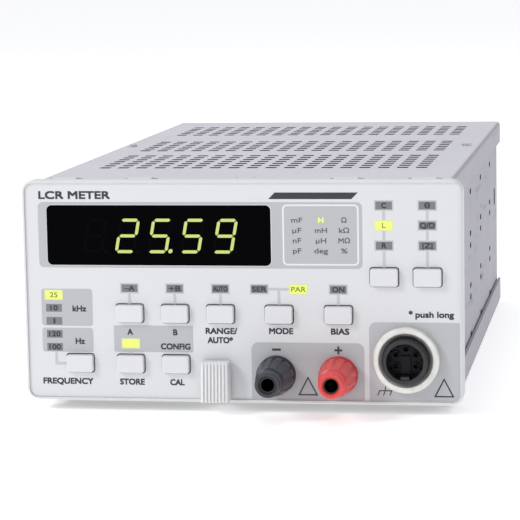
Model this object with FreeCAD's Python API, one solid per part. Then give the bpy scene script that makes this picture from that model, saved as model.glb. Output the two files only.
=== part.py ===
"""A plug-in LCR meter for an electronics bench: a sheet-metal module with a moulded front frame.

Millimetres. X runs to the right, Z up, and the front panel faces -Y. Every shape is first placed by its
depth behind the face of the front foil (y = 0) and is moved to the part's own origin when it is exported:
the middle of the footprint, on the surface that the module stands on.
"""
import FreeCAD
import Part
import math
import os

V = FreeCAD.Vector

# ---- driving dimensions -------------------------------------------------------------------------------
PANEL_WIDTH = 135.0
PANEL_HEIGHT = 68.0
BODY_WIDTH = 128.0
BODY_HEIGHT = 71.0
BODY_DEPTH = 228.0            # foil face to rear panel, without the edge tongue
PANEL_LIFT = 3.4              # the front frame hangs this far above the table
SHEET = 0.9                   # cover sheet
WALL_SHEET = 0.8              # side wall sheet
GUIDE_GAP = 0.35              # free space between a side wall and a cover's turned-down edge

FOIL = 0.25
PLATE = 1.5
PLATE_BACK = FOIL + PLATE
FRAME_FRONT = -0.5
FRAME_BACK = 4.8
FRAME_RADIUS = 3.6
RIM = 0.9                     # frame rim seen round the foil
LEDGE = 2.0                   # frame ledge behind the plate
FIT = 0.03                    # assembly clearance of a piece set into another

COVER_FRONT = 5.0
BOTTOM_FRONT = 17.0           # the bottom cover starts here, to leave the catch room
FLANGE_TOP = 7.9
FLANGE_BOTTOM = 9.2
WALL_OUT = BODY_WIDTH / 2 - SHEET - GUIDE_GAP
WALL_IN = WALL_OUT - WALL_SHEET
WALL_LOW = 1.0
WALL_HIGH = BODY_HEIGHT - 1.0
REAR_SHEET = 1.5
REAR_INNER = BODY_DEPTH - REAR_SHEET

BUTTON_WIDTH = 8.3
BUTTON_HEIGHT = 5.4
BUTTON_GAP = 0.35
BUTTON_PROUD = 1.8
# name: (x, height above the panel's lower edge)
BUTTONS = {
    "frequency": (-50.3, 11.6),
    "store": (-34.4, 11.6),
    "calibrate": (-20.3, 11.6),
    "config_a": (-34.4, 27.2),
    "config_b": (-20.3, 27.2),
    "range": (-6.2, 27.2),
    "mode": (11.8, 27.2),
    "bias": (29.9, 27.2),
    "inductance": (43.9, 38.8),
    "phase": (56.9, 38.8),
}

LAMP_WIDTH = 5.0
LAMP_HEIGHT = 2.4
LAMPS_LIT = [(-58.3, 32.7), (-34.4, 17.8), (17.8, 34.9), (43.9, 54.4)]
LAMPS_DARK = (
    [(-58.3, 32.7 - 4.05 * n) for n in (1, 2, 3, 4)]
    + [(x, 34.9) for x in (-34.4, -20.3, -6.2, 5.8, 29.9)]
    + [(43.9, z) for z in (60.4, 48.3)]
    + [(56.9, z) for z in (60.4, 54.4, 48.3)]
)
UNIT_LAMPS = [(x, z) for x in (17.6, 24.9, 31.9) for z in (55.9, 52.8, 49.7, 46.6)]

WINDOW = (-59.8, 9.6, 42.0, 60.4)      # x0, x1, z0, z1 on the panel
WINDOW_RADIUS = 1.6
DIGIT_COUNT = 5
DIGIT_WIDTH = 10.1
DIGIT_HEIGHT = 13.5
DIGITS_LEFT = -50.1

POSTS = {"black": (10.7, 8.7), "red": (29.7, 8.7)}
POST_COLLAR = 5.9
SPINDLE = 3.0
SOCKET = 2.02                 # takes a 4 mm plug
SOCKET_DEPTH = 19.0
SPINDLE_TIP = -17.2
CAP_TIP = -18.0
CAP_BASE = -2.55
FLUTE_COUNT = 12
COLLAR_FRONT = -1.5

CONNECTOR = (50.3, 13.8)
CONNECTOR_FLANGE = 10.05
CONNECTOR_THROAT = (8.05, 2.2)    # radius of the flange's opening, and how far it stands out there
CONNECTOR_BODY = 7.2
BODY_FRONT = -1.0
CONNECTOR_SLEEVE = 6.8
CONNECTOR_BORE = 5.6
INSERT_RADIUS = 6.55
KEY_SIZE = (2.6, 1.1)             # its width, and how far it reaches into the bore
SLEEVE_FRONT = -5.5
BORE_END = -1.9
INSERT_FACE = -0.6
CONTACT_CIRCLE = 3.5
STUD_CIRCLE = 4.85
PIT_CIRCLE = 5.2
RIB_SPAN = (-4.0, 1.3)            # the insert's middle rib: its ends above the axis
CONTACT_FRONT = 2.4

LEVER_X = -7.6
LEVER_WIDTH = 8.5
LEVER_PROUD = (5.0, 5.9)       # how far it stands out at its top and at its foot
LEVER_SPAN = (0.8, 13.0)       # heights of its foot and top on the panel
NECK_WIDTH = 6.2
PIVOT = (6.8, 6.6)            # depth, height of the lever's pin
PIN_RADIUS = 0.8

FRONT_BOARD = 11.0            # depth of its front side
BOARD = 1.6
MAIN_BOARD_Z = 24.0
MAIN_BOARD_FRONT = 21.0
TONGUE_WIDTH = 58.0
TONGUE_OUT = 10.0
TONGUE_POLES = 11             # contacts on each side

VENT_HOLE = (3.6, 3.6)
VENT_COLUMNS = 18
VENT_PITCH = (6.02, 6.87)
VENT_BLOCKS = ((63.9, 7), (121.4, 6), (186.0, 6))    # depth of a block's middle, and its rows
FRAME_TABS = (-55.5, -31.8, 31.8, 55.5)
TAB_WIDTH = 7.4
TAB_DEPTH = 5.0
TAB_STEP = 0.4                # how far a tab stands above the cover
TAB_GAP = 1.4
FRAME_SCREW_DEPTH = 9.6
FRAME_EARS = {8.8: (5.0, 12.5), 54.0: (47.0, 61.0)}    # screw height: the ear's lower and upper end
EAR_INNER = 59.5
EAR_FRONT = 2.2
SKIRT = (2.1, 3.0)
PLUNGER_FRONT = 5.2
SWITCH_FRONT = 7.2
RIB_COUNT = 7
RIB_PITCH = 1.06
BEND = 1.5
COVER_SCREW = (59.4, 120.0)    # x and depth of the top cover's screws
COVER_SCREW_RADIUS = 1.0
FOOT_SCREWS = (34.0, 205.0)    # depths of the bottom cover's screws
SUNK_HEAD = 1.7
SIDE_COLUMNS = (44.5, 91.5, 138.5, 185.5)
SIDE_SLOTS = (9.7, 22.5, 26.4, 40.0, 44.0, 58.2)
REAR_HALF = WALL_IN - 0.1
REAR_SCREWS = [(x, z) for x in (-56.0, 56.0) for z in (9.0, 62.0)]
TONGUE_SLOT = 6.0
BOARD_SPACERS = ((-50.5, 64.7), (37.0, 64.7), (-46.0, 24.0), (35.8, 38.0))
MAIN_PILLARS = [(x, y) for x in (-50.0, 50.0) for y in (40.0, 200.0)]

REACH = -CAP_TIP              # the frontmost point is a post cap
ORIGIN_DEPTH = (BODY_DEPTH + TONGUE_OUT - REACH) / 2


# ---- shape helpers ------------------------------------------------------------------------------------
def panel(z):
    """Height above the table of a point given above the front frame's lower edge."""
    return z + PANEL_LIFT


def box(x0, x1, y0, y1, z0, z1):
    return Part.makeBox(x1 - x0, y1 - y0, z1 - z0, V(x0, y0, z0))


def rod(x, z, radius, y0, y1):
    """A round bar along Y."""
    return Part.makeCylinder(radius, y1 - y0, V(x, y0, z), V(0, 1, 0))


def post(x, y, radius, z0, z1):
    """A round bar along Z."""
    return Part.makeCylinder(radius, z1 - z0, V(x, y, z0), V(0, 0, 1))


def cross_rod(y, z, radius, x0, x1):
    """A round bar along X."""
    return Part.makeCylinder(radius, x1 - x0, V(x0, y, z), V(1, 0, 0))


def ring(x, z, outer, inner, y0, y1):
    return rod(x, z, outer, y0, y1).cut(rod(x, z, inner, y0 - 1, y1 + 1))


def rounded_wire(x0, x1, z0, z1, r, y=0.0):
    """A rectangle with round corners in the plane at depth y."""
    s = r * (1 - math.sqrt(0.5))
    corners = [
        (V(x1 - r, y, z0), V(x1 - s, y, z0 + s), V(x1, y, z0 + r)),
        (V(x1, y, z1 - r), V(x1 - s, y, z1 - s), V(x1 - r, y, z1)),
        (V(x0 + r, y, z1), V(x0 + s, y, z1 - s), V(x0, y, z1 - r)),
        (V(x0, y, z0 + r), V(x0 + s, y, z0 + s), V(x0 + r, y, z0)),
    ]
    edges = []
    for i, (start, middle, end) in enumerate(corners):
        edges.append(Part.LineSegment(corners[i - 1][2], start).toShape())
        edges.append(Part.Arc(start, middle, end).toShape())
    return Part.Wire(edges)


def slab(x0, x1, z0, z1, r, y0, y1):
    """A plate with round corners, facing along Y."""
    return Part.Face(rounded_wire(x0, x1, z0, z1, r, y0)).extrude(V(0, y1 - y0, 0))


def pierced(outer, holes, way):
    """A plate with the given outline and holes, extruded along way."""
    return Part.makeFace([outer] + holes, "Part::FaceMakerBullseye").extrude(way)


def rectangle_z(x, y, width, depth, z):
    """A rectangle in a level plane, around a middle."""
    a, b = width / 2, depth / 2
    points = [V(x - a, y - b, z), V(x + a, y - b, z), V(x + a, y + b, z), V(x - a, y + b, z)]
    return Part.makePolygon(points + points[:1])


def rectangle_x(x, y, z, depth, height):
    """A rectangle in an upright plane that faces sideways, around a middle."""
    a, b = depth / 2, height / 2
    points = [V(x, y - a, z - b), V(x, y + a, z - b), V(x, y + a, z + b), V(x, y - a, z + b)]
    return Part.makePolygon(points + points[:1])


def profile(points, way):
    """A closed polygon extruded along way."""
    corners = [V(*p) for p in points]
    return Part.Face(Part.makePolygon(corners + corners[:1])).extrude(way)


def turned(x, z, points):
    """A turned piece about the line through x and z: points are (radius, depth)."""
    corners = [V(x + r, y, z) for r, y in points]
    face = Part.Face(Part.makePolygon(corners + corners[:1]))
    return face.revolve(V(x, 0, z), V(0, 1, 0), 360)


def edges_at(shape, test):
    """The edges whose every vertex passes the test."""
    return [e for e in shape.Edges if all(test(v.Point) for v in e.Vertexes)]


def near(a, b):
    return abs(a - b) < 1e-4


def together(*shapes):
    return Part.makeCompound([s for shape in shapes for s in shape.Solids])


def pan_screw(x, z, radius, head, y0, y1, height=1.6):
    """A pan-head screw that points along +Y, its head in front of y0, with a cross recess."""
    solid = rod(x, z, radius, y0, y1).fuse(rod(x, z, head, y0 - height, y0))
    arm = head * 0.6
    front, floor = y0 - height - 1, y0 - height / 2
    solid = solid.cut(box(x - arm, x + arm, front, floor, z - 0.3, z + 0.3))
    return solid.cut(box(x - 0.3, x + 0.3, front, floor, z - arm, z + arm))


def low_screw(x, y, z0, z1, radius, head, height=0.7):
    """A flat-head screw that points down: its head's underside is at z1, its tip at z0."""
    solid = post(x, y, radius, z0, z1).fuse(post(x, y, head, z1, z1 + height))
    return solid.cut(box(x - head, x + head, y - 0.25, y + 0.25, z1 + height * 0.4, z1 + height + 1))


# ---- front ----------------------------------------------------------------------------------------------
def panel_outline(inset, radius, y):
    half = PANEL_WIDTH / 2 - inset
    return rounded_wire(-half, half, panel(inset), panel(PANEL_HEIGHT - inset), radius, y)


def front_frame():
    depth = FRAME_BACK - FRAME_FRONT
    body = Part.Face(panel_outline(0, FRAME_RADIUS, FRAME_FRONT)).extrude(V(0, depth, 0))
    body = body.makeFillet(0.8, edges_at(body, lambda p: near(p.y, FRAME_FRONT)))
    seat = Part.Face(panel_outline(RIM - FIT, FRAME_RADIUS - RIM, FRAME_FRONT - 1))
    body = body.cut(seat.extrude(V(0, 1 - FRAME_FRONT + PLATE_BACK, 0)))
    well = Part.Face(panel_outline(RIM + LEDGE, 1.5, 0))
    body = body.cut(well.extrude(V(0, FRAME_BACK + 1, 0)))
    top = BODY_HEIGHT
    for x in FRAME_TABS:
        body = body.fuse(box(x - TAB_WIDTH / 2, x + TAB_WIDTH / 2, FRAME_BACK - 1,
                             FRAME_BACK + TAB_DEPTH, top - SHEET, top + TAB_STEP))
    for side in (-1, 1):
        for z, (z0, z1) in FRAME_EARS.items():
            x0, x1 = sorted((side * EAR_INNER, side * (WALL_IN - 0.05)))
            ear = box(x0, x1, EAR_FRONT, FRAME_BACK + 8.4, z0, z1)
            b0, b1 = sorted((side * EAR_INNER, side * (PANEL_WIDTH / 2 - RIM - 1.0)))
            body = body.fuse([ear, box(b0, b1, EAR_FRONT, FRAME_BACK, z0, z1)])
            body = body.cut(cross_rod(FRAME_SCREW_DEPTH, z, 1.25 + FIT, x0 - 1, x1 + 1))
    for side in (-1, 1):
        x0, x1 = sorted((LEVER_X + side * (NECK_WIDTH / 2 + 0.5), LEVER_X + side * (NECK_WIDTH / 2 + 2.0)))
        body = body.fuse(box(x0, x1, 2.2, 9.4, panel(1.2), 14.6))
    roof = box(LEVER_X - NECK_WIDTH / 2 - 2.0, LEVER_X + NECK_WIDTH / 2 + 2.0, 2.2, 16.6, 13.4, 14.6)
    body = body.fuse(roof)
    notch = box(LEVER_X - NECK_WIDTH / 2 - 0.4, LEVER_X + NECK_WIDTH / 2 + 0.4,
                FRAME_FRONT - 1, FRAME_BACK + 1, 0, panel(5.0))
    body = body.cut(notch)
    reach = NECK_WIDTH / 2 + 3.0
    return body.cut(cross_rod(*PIVOT, PIN_RADIUS + FIT, LEVER_X - reach, LEVER_X + reach)).removeSplitter()


def button_openings(y):
    a, b = BUTTON_WIDTH / 2 + BUTTON_GAP, BUTTON_HEIGHT / 2 + BUTTON_GAP
    return [rounded_wire(x - a, x + a, panel(z) - b, panel(z) + b, 1.0, y) for x, z in BUTTONS.values()]


def lamp_openings(y):
    a, b = LAMP_WIDTH / 2 + FIT, LAMP_HEIGHT / 2 + FIT
    places = LAMPS_LIT + LAMPS_DARK
    return [rounded_wire(x - a, x + a, panel(z) - b, panel(z) + b, 0.15, y) for x, z in places]


def window_opening(y):
    x0, x1, z0, z1 = WINDOW
    return rounded_wire(x0 - FIT, x1 + FIT, panel(z0) - FIT, panel(z1) + FIT, WINDOW_RADIUS + FIT, y)


def round_opening(x, z, radius, y):
    return Part.Wire(Part.makeCircle(radius, V(x, y, panel(z)), V(0, 1, 0)))


def front_sheet(y0, y1, post_hole, connector_hole):
    """The outline and openings that the foil and the plate behind it share."""
    holes = button_openings(y0) + lamp_openings(y0) + [window_opening(y0)]
    holes += [round_opening(x, z, post_hole, y0) for x, z in POSTS.values()]
    holes += [round_opening(*CONNECTOR, connector_hole, y0)]
    sheet = pierced(panel_outline(RIM, FRAME_RADIUS - RIM, y0), holes, V(0, y1 - y0, 0))
    half = NECK_WIDTH / 2 + 0.4
    notch = box(LEVER_X - half, LEVER_X + half, y0 - 1, y1 + 1, 0, panel(5.0))
    return sheet.cut(notch)


def display_window():
    x0, x1, z0, z1 = WINDOW
    return slab(x0, x1, panel(z0), panel(z1), WINDOW_RADIUS, 0.1, PLATE_BACK)


def lamps(places):
    a, b = LAMP_WIDTH / 2, LAMP_HEIGHT / 2
    return together(*[slab(x - a, x + a, panel(z) - b, panel(z) + b, 0.15, 0.02, PLATE_BACK)
                      for x, z in places])


def display_digits():
    """The row of LED digit blocks, each with a shallow figure-of-eight channel in its face."""
    z0 = panel((WINDOW[2] + WINDOW[3]) / 2) - DIGIT_HEIGHT / 2
    blocks = []
    for n in range(DIGIT_COUNT):
        x0 = DIGITS_LEFT + n * DIGIT_WIDTH
        block = box(x0 + 0.05, x0 + DIGIT_WIDTH - 0.05, 3.0, FRONT_BOARD, z0, z0 + DIGIT_HEIGHT)
        for row in range(2):
            z = z0 + 2.4 + row * 4.6
            block = block.cut(box(x0 + 3.2, x0 + 7.0, 2.5, 3.2, z, z + 4.0))
        blocks.append(block)
    return together(*blocks)


def indicator_leds():
    places = LAMPS_LIT + LAMPS_DARK
    leds = [box(x - 2.0, x + 2.0, 2.4, FRONT_BOARD, panel(z) - 1.0, panel(z) + 1.0) for x, z in places]
    leds += [rod(x, panel(z), 1.0, 2.4, FRONT_BOARD) for x, z in UNIT_LAMPS]
    return together(*leds)


# ---- keys -----------------------------------------------------------------------------------------------


def button(x, z):
    """A key cap with its retaining skirt and stem, and the switch plunger that it pushes."""
    z = panel(z)
    a, b = BUTTON_WIDTH / 2, BUTTON_HEIGHT / 2
    cap = slab(x - a, x + a, z - b, z + b, 0.7, -BUTTON_PROUD, SKIRT[1])
    cap = cap.makeFillet(0.35, edges_at(cap, lambda p: near(p.y, -BUTTON_PROUD)))
    cap = cap.fuse(slab(x - a - 0.9, x + a + 0.9, z - b - 0.9, z + b + 0.9, 0.7, *SKIRT))
    cap = cap.cut(box(x - a + 1.2, x + a - 1.2, 0.2, SKIRT[1] + 1, z - b + 1.1, z + b - 1.1))
    cap = cap.fuse(box(x - 1.6, x + 1.6, 0.0, PLUNGER_FRONT, z - 1.2, z + 1.2))
    plunger = rod(x, z, 1.7, PLUNGER_FRONT, SWITCH_FRONT + 0.8)
    return together(cap, plunger)


def switch_bodies():
    bodies = []
    for x, z in BUTTONS.values():
        z = panel(z)
        body = slab(x - 3, x + 3, z - 3, z + 3, 0.4, SWITCH_FRONT, FRONT_BOARD)
        bodies.append(body.cut(rod(x, z, 1.8, SWITCH_FRONT - 1, SWITCH_FRONT + 1.6)))
    return together(*bodies)


# ---- release lever --------------------------------------------------------------------------------------


def release_lever():
    half = LEVER_WIDTH / 2
    low, high = panel(LEVER_SPAN[0]), panel(LEVER_SPAN[1])
    top, foot = -LEVER_PROUD[0], -LEVER_PROUD[1]
    side = [(LEVER_X - half, -0.9, low), (LEVER_X - half, foot, low), (LEVER_X - half, top, high - 1.2),
            (LEVER_X - half, top + 1.0, high), (LEVER_X - half, -0.9, high)]
    tab = profile(side, V(LEVER_WIDTH, 0, 0))
    outer = edges_at(tab, lambda p: p.y < top + 1.1 and near(abs(p.x - LEVER_X), half))
    tab = tab.makeFillet(0.7, [e for e in outer if abs(e.tangentAt(e.FirstParameter).x) < 0.5])
    for n in range(RIB_COUNT):
        x = LEVER_X + (n - (RIB_COUNT - 1) / 2) * RIB_PITCH
        groove = [(x - 0.24, foot - 1, low - 1), (x - 0.24, foot + 0.5, low - 1),
                  (x - 0.24, top + 0.5, high - 1.2), (x - 0.24, top + 1.5, high + 1),
                  (x - 0.24, foot - 1, high + 1)]
        tab = tab.cut(profile(groove, V(0.48, 0, 0)))
    neck = box(LEVER_X - NECK_WIDTH / 2, LEVER_X + NECK_WIDTH / 2, -1.2, PIVOT[0], panel(1.4), panel(3.8))
    barrel = cross_rod(*PIVOT, 1.9, LEVER_X - NECK_WIDTH / 2, LEVER_X + NECK_WIDTH / 2)
    arm_side = [(LEVER_X - NECK_WIDTH / 2, PIVOT[0], 5.0), (LEVER_X - NECK_WIDTH / 2, 13.0, 5.0),
                (LEVER_X - NECK_WIDTH / 2, 13.0, 1.2), (LEVER_X - NECK_WIDTH / 2, 13.8, 1.2),
                (LEVER_X - NECK_WIDTH / 2, 15.6, 4.2), (LEVER_X - NECK_WIDTH / 2, 15.6, 7.0),
                (LEVER_X - NECK_WIDTH / 2, PIVOT[0], 7.0)]
    lever = tab.fuse([neck, barrel, profile(arm_side, V(NECK_WIDTH, 0, 0))])
    lever = lever.cut(cross_rod(*PIVOT, PIN_RADIUS + 0.05, LEVER_X - half, LEVER_X + half))
    return lever.removeSplitter()


def lever_pin():
    reach = NECK_WIDTH / 2 + 2.0
    return cross_rod(*PIVOT, PIN_RADIUS, LEVER_X - reach, LEVER_X + reach)


def lever_spring():
    """A compression spring between the lever's arm and the frame's roof."""
    low, high, coil, wire = 7.25, 13.15, 1.9, 0.22
    helix = Part.makeHelix((high - low) / 5, high - low, coil)
    helix.translate(V(LEVER_X, 12.2, low))
    start = Part.Wire(Part.makeCircle(wire, V(LEVER_X + coil, 12.2, low), V(0, 1, 0.09)))
    return Part.Wire(helix).makePipeShell([start], True, True)


# ---- binding posts --------------------------------------------------------------------------------------
def post_insulator(x, z):
    """The collar in front of the panel with its neck, and the washer behind the plate."""
    z = panel(z)
    front = turned(x, z, [(SPINDLE + FIT, COLLAR_FRONT), (POST_COLLAR - 0.4, COLLAR_FRONT),
                          (POST_COLLAR, COLLAR_FRONT + 0.4), (POST_COLLAR, 0), (4.0, 0),
                          (4.0, PLATE_BACK), (SPINDLE + FIT, PLATE_BACK)])
    back = ring(x, z, 5.6, SPINDLE + FIT, PLATE_BACK, PLATE_BACK + 1.8)
    return together(front, back)


def post_spindles():
    solids = []
    for x, z in POSTS.values():
        z = panel(z)
        spindle = turned(x, z, [(0, SPINDLE_TIP), (SPINDLE - 0.3, SPINDLE_TIP),
                                (SPINDLE, SPINDLE_TIP + 0.3), (SPINDLE, 13.0),
                                (SPINDLE - 0.5, 13.5), (0, 13.5)])
        spindle = spindle.cut(rod(x, z, SOCKET, SPINDLE_TIP - 1, SPINDLE_TIP + SOCKET_DEPTH))
        solids.append(spindle)
    return together(*solids)


def clamp_washer(x, z):
    return ring(x, panel(z), 5.2, SPINDLE + 0.1, CAP_BASE + 0.02, COLLAR_FRONT - 0.02)


def post_cap(x, z):
    """A tapered grip with flutes that fade out towards its tip, threaded on the spindle."""
    z = panel(z)
    bore = SPINDLE + 0.05
    lip = 2.4
    cap = turned(x, z, [(bore, CAP_BASE), (5.4, CAP_BASE), (5.75, CAP_BASE - 0.35), (5.75, -4.6),
                        (4.45, -13.4), (4.0, -13.7), (3.9, -17.4), (3.6, CAP_TIP), (lip + 0.4, CAP_TIP),
                        (lip, CAP_TIP + 0.5), (lip, SPINDLE_TIP - 0.1), (bore, SPINDLE_TIP - 0.1)])
    for n in range(FLUTE_COUNT):
        angle = 2 * math.pi * n / FLUTE_COUNT
        out = V(math.cos(angle), 0, math.sin(angle))
        start = V(x, CAP_BASE - 1.0, z) + out * 6.35
        run = V(x, -13.2, z) + out * 4.95 - start
        cap = cap.cut(Part.makeCylinder(0.85, run.Length, start, run))
    return cap


def hexagon(x, z, across, y0, y1):
    radius = across / math.sqrt(3)
    points = [(x + radius * math.cos(math.radians(60 * n)), y0, z + radius * math.sin(math.radians(60 * n)))
              for n in range(6)]
    return profile(points, V(0, y1 - y0, 0))


def post_nuts():
    nuts = []
    for x, z in POSTS.values():
        nut = hexagon(x, panel(z), 9.0, PLATE_BACK + 2.6, PLATE_BACK + 5.2)
        nuts.append(nut.cut(rod(x, panel(z), SPINDLE + FIT, 0, 20)))
    return together(*nuts)


def post_lugs():
    """A solder lug under each nut, with its tail bent back."""
    lugs = []
    for x, z in POSTS.values():
        z = panel(z)
        lug = ring(x, z, 4.6, SPINDLE + FIT, PLATE_BACK + 1.8, PLATE_BACK + 2.6)
        lug = lug.fuse(box(x - 1.5, x + 1.5, PLATE_BACK + 1.8, PLATE_BACK + 2.6, z + 4.0, z + 8.0))
        lug = lug.fuse(box(x - 1.5, x + 1.5, PLATE_BACK + 1.8, PLATE_BACK + 7.0, z + 7.2, z + 8.0))
        lugs.append(lug)
    return together(*lugs)


# ---- measuring connector --------------------------------------------------------------------------------
def connector_ring():
    """The plated flange on the panel, dished towards the sleeve."""
    x, z = CONNECTOR
    throat, stand = CONNECTOR_THROAT
    inner = CONNECTOR_BODY + 0.1
    return turned(x, panel(z), [(inner, BODY_FRONT), (throat, -stand), (throat + 0.3, -2.4), (9.6, -2.4),
                                (CONNECTOR_FLANGE, -1.9), (CONNECTOR_FLANGE, 0), (inner, 0)])


def connector_sleeve():
    """The body through the panel and the thinner sleeve in front of it, with its key."""
    x, z = CONNECTOR
    bore, outer = CONNECTOR_BORE, CONNECTOR_SLEEVE
    pocket = INSERT_RADIUS + 0.05
    sleeve = turned(x, panel(z), [(bore, SLEEVE_FRONT), (outer - 0.4, SLEEVE_FRONT),
                                  (outer, SLEEVE_FRONT + 0.4), (outer, BODY_FRONT),
                                  (CONNECTOR_BODY, BODY_FRONT), (CONNECTOR_BODY, 13.0), (pocket, 13.0),
                                  (pocket, INSERT_FACE), (bore + 0.25, INSERT_FACE),
                                  (bore + 0.25, BORE_END), (bore, BORE_END)])
    width, reach = KEY_SIZE
    foot = panel(z) - bore
    key = box(x - width / 2, x + width / 2, SLEEVE_FRONT + 0.6, BORE_END, foot - 0.25, foot + reach)
    return sleeve.fuse(key).removeSplitter()


def contact_places():
    """Five contacts on a circle, with the key where a sixth would be."""
    x, z = CONNECTOR
    angles = [90 + 60 * n for n in (-2, -1, 0, 1, 2)]
    z, r = panel(z), CONTACT_CIRCLE
    return [(x + r * math.cos(math.radians(a)), z + r * math.sin(math.radians(a))) for a in angles]


def connector_insert():
    """The moulding that holds the contacts, with a rib down its middle and studs round it."""
    x, z = CONNECTOR[0], panel(CONNECTOR[1])
    body = rod(x, z, INSERT_RADIUS, INSERT_FACE, 11.0)
    low, high = RIB_SPAN
    body = body.fuse(box(x - 1.4, x + 1.4, INSERT_FACE - 1.0, INSERT_FACE, z + low, z + high))
    for cx, cz in contact_places():
        out = V(cx - x, 0, cz - z) * (PIT_CIRCLE / CONTACT_CIRCLE)
        body = body.fuse(rod(cx, cz, 1.2, INSERT_FACE - 0.7, INSERT_FACE))
        body = body.cut(rod(x + out.x, z + out.z, 0.35, INSERT_FACE - 1, INSERT_FACE + 2.4))
        body = body.cut(rod(cx, cz, 0.85, INSERT_FACE - 2, 12.0))
    for n in range(6):
        angle = math.radians(60 * n)
        sx, sz = x + STUD_CIRCLE * math.cos(angle), z + STUD_CIRCLE * math.sin(angle)
        body = body.fuse(rod(sx, sz, 0.7, INSERT_FACE - 0.5, INSERT_FACE))
        body = body.cut(rod(sx, sz, 0.35, INSERT_FACE - 1, INSERT_FACE + 1.0))
    return body


def connector_contacts():
    """Split tubes in the insert, each with a solder tail behind it."""
    contacts = []
    for x, z in contact_places():
        tube = rod(x, z, 0.82, CONTACT_FRONT, 12.0).cut(rod(x, z, 0.5, 0, 7.0))
        contacts.append(tube.fuse(rod(x, z, 0.6, 12.0, 15.0)))
    return together(*contacts)


def connector_nut():
    x, z = CONNECTOR
    nut = hexagon(x, panel(z), 19.0, PLATE_BACK, PLATE_BACK + 3.0)
    return nut.cut(rod(x, panel(z), CONNECTOR_BODY + 0.05, 0, 20))


# ---- case -----------------------------------------------------------------------------------------------


def cover_section(half, flange, sheet, y):
    """Half of a U with one bent corner, lying open side down: top at z = 0."""
    r, s = BEND, math.sqrt(0.5)
    c = V(half - r, y, -r)
    edges = [
        Part.LineSegment(V(half - r - 1, y, 0), V(half - r, y, 0)).toShape(),
        Part.Arc(V(half - r, y, 0), V(c.x + r * s, y, c.z + r * s), V(half, y, -r)).toShape(),
        Part.LineSegment(V(half, y, -r), V(half, y, -flange)).toShape(),
        Part.LineSegment(V(half, y, -flange), V(half - sheet, y, -flange)).toShape(),
        Part.LineSegment(V(half - sheet, y, -flange), V(half - sheet, y, -r)).toShape(),
        Part.Arc(V(half - sheet, y, -r), V(c.x + (r - sheet) * s, y, c.z + (r - sheet) * s),
                 V(half - r, y, -sheet)).toShape(),
        Part.LineSegment(V(half - r, y, -sheet), V(half - r - 1, y, -sheet)).toShape(),
        Part.LineSegment(V(half - r - 1, y, -sheet), V(half - r - 1, y, 0)).toShape(),
    ]
    return Part.Face(Part.Wire(edges))


def vent_holes(z):
    holes = []
    for middle, rows in VENT_BLOCKS:
        for row in range(rows):
            y = middle + (row - (rows - 1) / 2) * VENT_PITCH[1]
            for column in range(VENT_COLUMNS):
                x = (column - (VENT_COLUMNS - 1) / 2) * VENT_PITCH[0]
                holes.append(rectangle_z(x, y, *VENT_HOLE, z))
    return holes


def cover(front, flange):
    """A shallow U of perforated sheet with its flat side at z = 0 and its edges turned down."""
    half = BODY_WIDTH / 2
    flat = half - BEND - 1
    length = BODY_DEPTH - front
    plate = pierced(rectangle_z(0, front + length / 2, 2 * flat, length, -SHEET), vent_holes(-SHEET),
                    V(0, 0, SHEET))
    right = cover_section(half, flange, SHEET, front).extrude(V(0, length, 0))
    left = right.mirror(V(0, 0, 0), V(1, 0, 0))
    return plate.fuse([left, right]).removeSplitter()


def top_cover():
    body = cover(COVER_FRONT, FLANGE_TOP)
    body.translate(V(0, 0, BODY_HEIGHT))
    for x in FRAME_TABS:
        half = TAB_WIDTH / 2 + TAB_GAP
        body = body.cut(box(x - half, x + half, COVER_FRONT - 1, FRAME_BACK + TAB_DEPTH + 0.4,
                            BODY_HEIGHT - SHEET - 1, BODY_HEIGHT + 1))
    for x in (-2.7, 2.7):
        body = body.cut(post(x, 13.3, 0.45, BODY_HEIGHT - 2, BODY_HEIGHT + 1))
    for side in (-1, 1):
        body = body.cut(post(side * COVER_SCREW[0], COVER_SCREW[1], COVER_SCREW_RADIUS + 0.1,
                             BODY_HEIGHT - 2, BODY_HEIGHT + 1))
    return body


def bottom_cover():
    body = cover(BOTTOM_FRONT, FLANGE_BOTTOM)
    body = body.mirror(V(0, 0, 0), V(0, 0, 1))
    lip = box(-(WALL_IN - 3.0), WALL_IN - 3.0, BOTTOM_FRONT, BOTTOM_FRONT + SHEET, SHEET - 0.2, 6.5)
    body = body.fuse(lip).removeSplitter()
    for side in (-1, 1):
        for depth in FOOT_SCREWS:
            x = side * COVER_SCREW[0]
            body = body.cut(post(x, depth, COVER_SCREW_RADIUS + 0.1, -1, SHEET + 1))
            body = body.cut(post(x, depth, SUNK_HEAD + 0.05, -1, SHEET - 0.6))
    return body


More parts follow.
